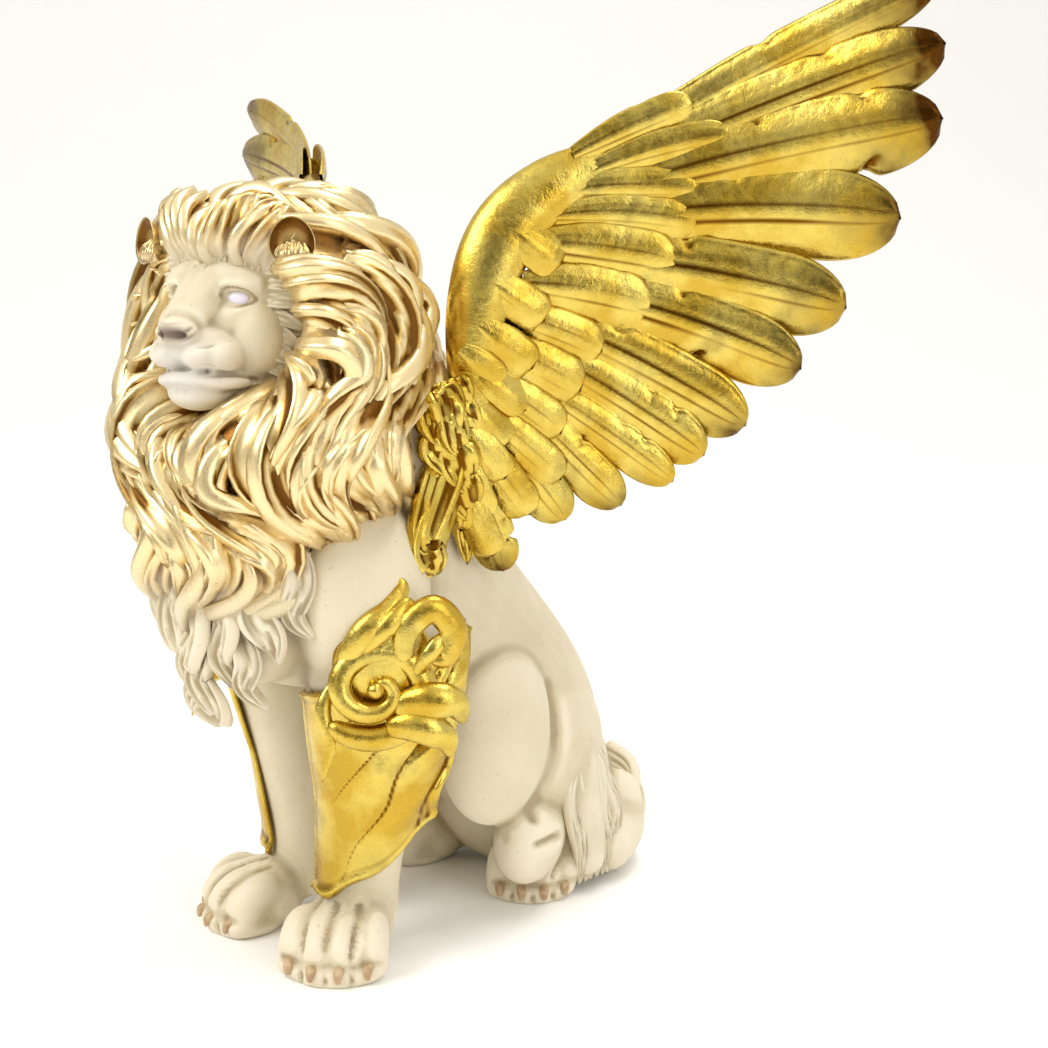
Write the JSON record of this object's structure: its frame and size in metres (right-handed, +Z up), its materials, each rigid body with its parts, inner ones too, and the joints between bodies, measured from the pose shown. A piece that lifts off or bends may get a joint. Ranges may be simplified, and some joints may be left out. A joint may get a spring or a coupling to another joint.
{
  "type": "seated winged lion sculpture",
  "caption": "Seated winged lion in cream cast resin with a pearl-gold mane, gold-leaf wings and leg guards; stands on its paws and rump as a tabletop ornament.",
  "frame": {"origin": "middle of the figure's footprint, on the surface that it stands on", "axes": "+Z up; the lion faces -Y; its left side is +X"},
  "size_m": [0.5112, 0.3218, 0.5007],
  "materials": {
    "cream_resin": "matte sand-coloured polyresin with a soft brown wash in the recesses",
    "pearl_gold_paint": "satin champagne-gold metallic paint on the mane",
    "gold_leaf": "bright crinkled imitation gold leaf on the cast resin wings and leg guards",
    "eye_gloss": "blank pale glossy eyes"
  },
  "bodies": {
    "root": {"body": "cream_resin", "wing_left": "gold_leaf", "wing_right": "gold_leaf"}
  },
  "joints": []
}
